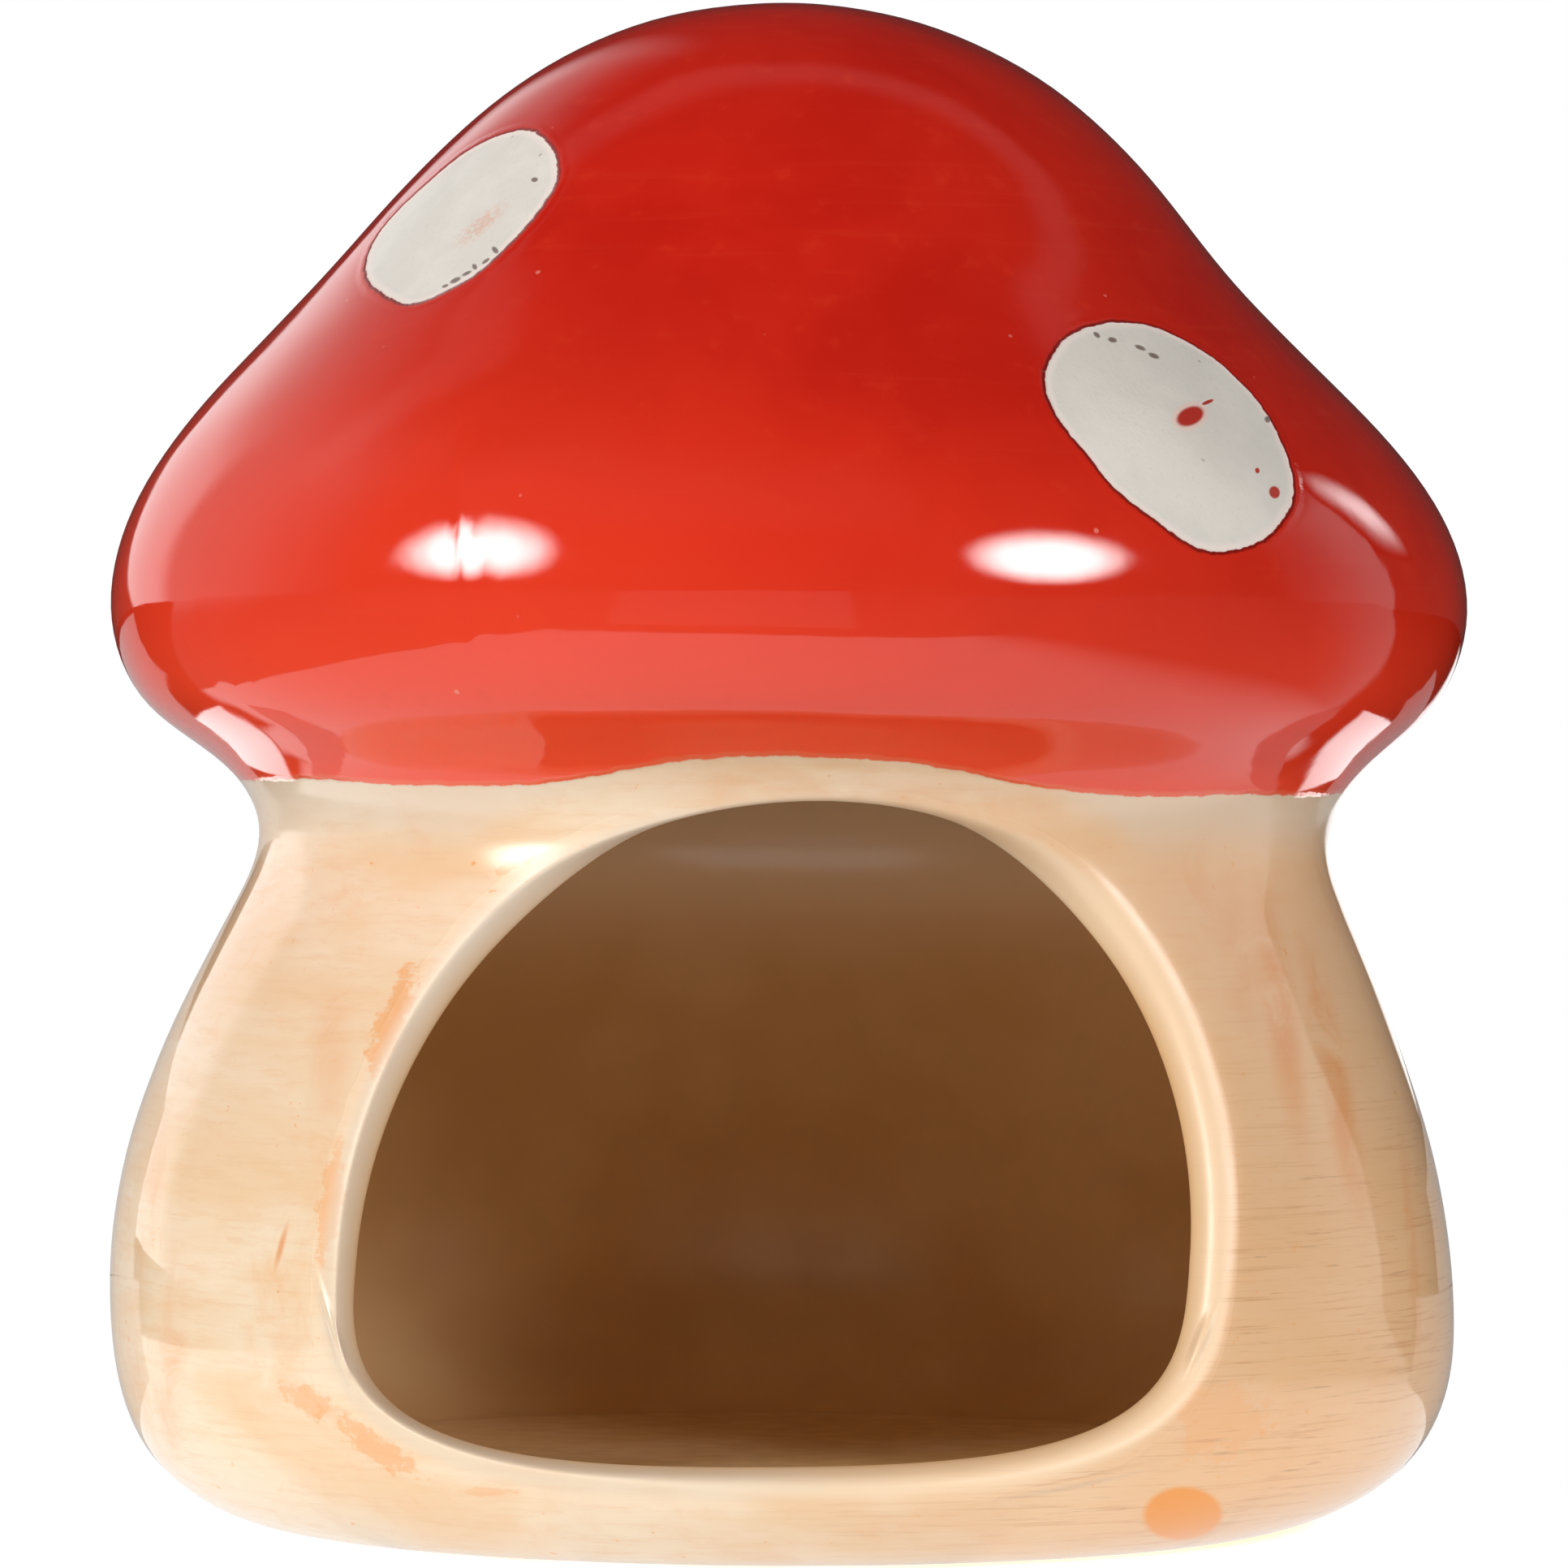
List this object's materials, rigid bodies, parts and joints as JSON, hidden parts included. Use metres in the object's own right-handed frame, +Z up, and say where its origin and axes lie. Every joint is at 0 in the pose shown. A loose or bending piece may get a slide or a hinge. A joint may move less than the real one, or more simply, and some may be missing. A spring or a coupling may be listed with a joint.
{
  "type": "ceramic hamster house",
  "caption": "Mushroom-shaped ceramic hamster house: a glossy red cap with pale spots over a rounded cream stem with a wide arched doorway, closed floor inside.",
  "frame": {"origin": "middle of the bounding box, on the plane the foot ring stands on", "axes": "+Z up through the crown of the cap, -Y out of the doorway, +X to the right of someone looking into the doorway"},
  "size_m": [0.125, 0.118, 0.14],
  "materials": {
    "glaze": "glossy clear glaze over a red cap and a cream stem, with pale matt spots on the cap"
  },
  "bodies": {
    "root": {"house": "glaze"}
  },
  "joints": []
}
